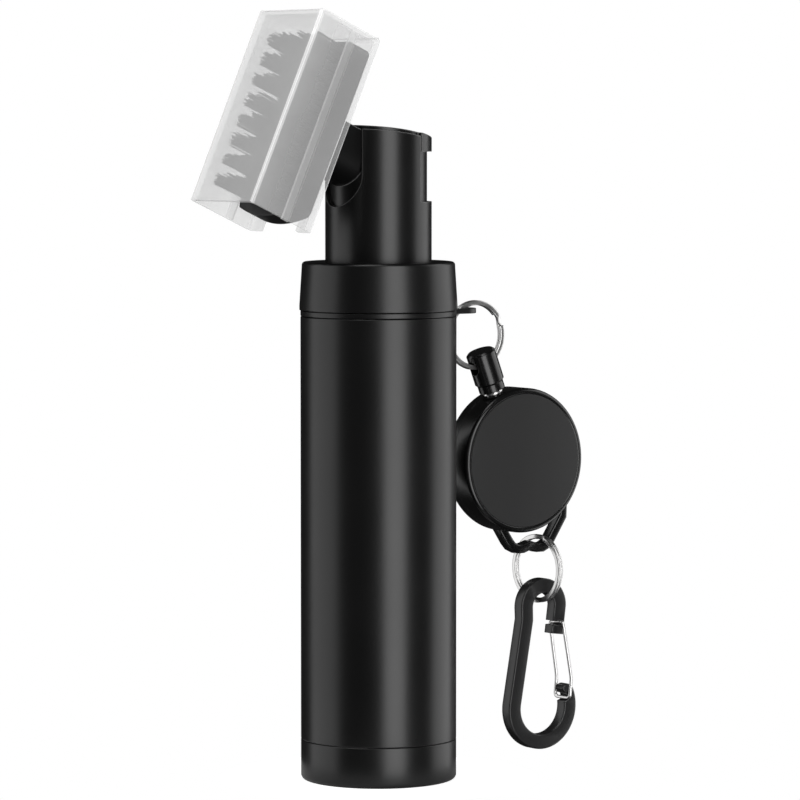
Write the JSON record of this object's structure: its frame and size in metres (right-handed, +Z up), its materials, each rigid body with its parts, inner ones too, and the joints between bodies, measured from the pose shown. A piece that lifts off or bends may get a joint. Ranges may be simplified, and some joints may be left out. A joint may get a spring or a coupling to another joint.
{
  "type": "water-dispensing cleaning brush",
  "caption": "Cylindrical water bottle with a press-pump neck that carries a leaning bristle brush under a frosted cover, and a retractable cord reel with a snap clip hung from an ear.",
  "frame": {"origin": "centre of the bottle's resting face", "axes": "+Z up along the bottle's axis; the brush leans out towards -X; the ear, reel and clip hang on the +X side; -Y is the side that the reel's face looks to"},
  "size_m": [0.1251, 0.0446, 0.2172],
  "materials": {
    "body_plastic": "satin black moulded plastic",
    "bottle_plastic": "dark polyethylene",
    "seal_rubber": "moulded rubber",
    "natural_plastic": "natural polypropylene",
    "ball_glass": "polished",
    "spring_steel": "drawn spring wire",
    "brush_plastic": "black moulded plastic",
    "bristle_nylon": "dark nylon",
    "cover_plastic": "frosted clear polypropylene",
    "ring_steel": "nickel-plated spring steel",
    "reel_plastic": "glossy black plastic",
    "reel_face": "matte dark grey face",
    "cord_braid": "braided nylon",
    "ferrule_chrome": "polished",
    "spool_plastic": "acetal",
    "clip_plastic": "satin black"
  },
  "bodies": {
    "bottle": {"base_cap": "body_plastic", "outer_sleeve": "body_plastic", "inner_bottle": "bottle_plastic"},
    "hanger": {"hanger_ring": "body_plastic"},
    "head": {"neck_shroud": "body_plastic", "neck_gasket": "seal_rubber", "pump_cylinder": "natural_plastic", "stem_guide": "natural_plastic", "dip_tube": "natural_plastic", "pump_spring": "spring_steel"},
    "collar": {"screw_collar": "body_plastic"},
    "ball": {"inlet_ball": "ball_glass"},
    "plunger": {"press_head": "body_plastic", "piston_stem": "natural_plastic", "piston_seal": "seal_rubber", "brush_base": "brush_plastic", "nozzle": "brush_plastic", "bristle_tufts": "bristle_nylon"},
    "cover": {"brush_cover": "cover_plastic"},
    "upper_ring": {"upper_split_ring": "ring_steel"},
    "stop": {"cord_stop": "reel_plastic", "cord_knot": "cord_braid"},
    "reel": {"reel_front_cover": "reel_face", "reel_back_shell": "reel_plastic", "reel_axle": "ring_steel", "reel_ferrule": "ferrule_chrome", "cord_run": "cord_braid"},
    "spool": {"spool": "spool_plastic", "power_spring": "spring_steel", "wound_cord": "cord_braid"},
    "lower_ring": {"lower_split_ring": "ring_steel"},
    "clip": {"clip_body": "clip_plastic"},
    "gate": {"wire_gate": "ring_steel"}
  },
  "joints": [
    {"name": "head_lift", "type": "slide", "parent": "bottle", "child": "head", "axis": [0, 0, 1], "range_m": [0, 0.14]},
    {"name": "collar_turn", "type": "hinge", "parent": "head", "child": "collar", "pos_m": [0, 0, 0.14], "axis": [0, 0, 1], "continuous": true},
    {"name": "hanger_swivel", "type": "hinge", "parent": "bottle", "child": "hanger", "pos_m": [0, 0, 0.132], "axis": [0, 0, 1], "continuous": true},
    {"name": "ball_lift", "type": "slide", "parent": "head", "child": "ball", "axis": [0, 0, 1], "range_m": [0, 0.0012]},
    {"name": "pump_press", "type": "slide", "parent": "head", "child": "plunger", "axis": [0, 0, -1], "range_m": [0, 0.0055], "stiffness_N_per_m": 400, "springref_m": -0.006, "deforming": ["pump_spring"]},
    {"name": "cover_pull", "type": "slide", "parent": "plunger", "child": "cover", "axis": [0.4123, 0, 0.911], "range_m": [0, 0.062]},
    {"name": "upper_ring_swing", "type": "hinge", "parent": "hanger", "child": "upper_ring", "pos_m": [0.03225, 0, 0.13195], "axis": [0, -1, 0], "range_deg": [-2.5, 60]},
    {"name": "stop_swing", "type": "hinge", "parent": "upper_ring", "child": "stop", "pos_m": [0.03384, 0, 0.12472], "axis": [0, -1, 0], "range_deg": [-2.5, 40]},
    {"name": "cord_pull", "type": "slide", "parent": "stop", "child": "reel", "axis": [0.3616, 0, -0.9323], "range_m": [0, 0.6], "stiffness_N_per_m": 1, "springref_m": -1.2},
    {"name": "spool_spin", "type": "hinge", "parent": "reel", "child": "spool", "pos_m": [0.04794, 0, 0.08836], "axis": [0, -1, 0], "range_deg": [0, 2920]},
    {"name": "lower_ring_swing", "type": "hinge", "parent": "reel", "child": "lower_ring", "pos_m": [0.059, 0.0036, 0.062], "axis": [1, 0, 0], "range_deg": [-35, 35]},
    {"name": "clip_swing", "type": "hinge", "parent": "lower_ring", "child": "clip", "pos_m": [0.059, 0.0032, 0.0465], "axis": [0, -1, 0], "range_deg": [-35, 35]},
    {"name": "gate_swing", "type": "hinge", "parent": "clip", "child": "gate", "pos_m": [0.06906, 0.0032, 0.0166], "axis": [0, -1, 0], "range_deg": [0, 18], "stiffness_Nm_per_rad": 0.02, "springref_deg": -20.05}
  ],
  "couplings": [
    {"joint": "spool_spin", "follows": "cord_pull", "rad_per_m": 84.7}
  ]
}
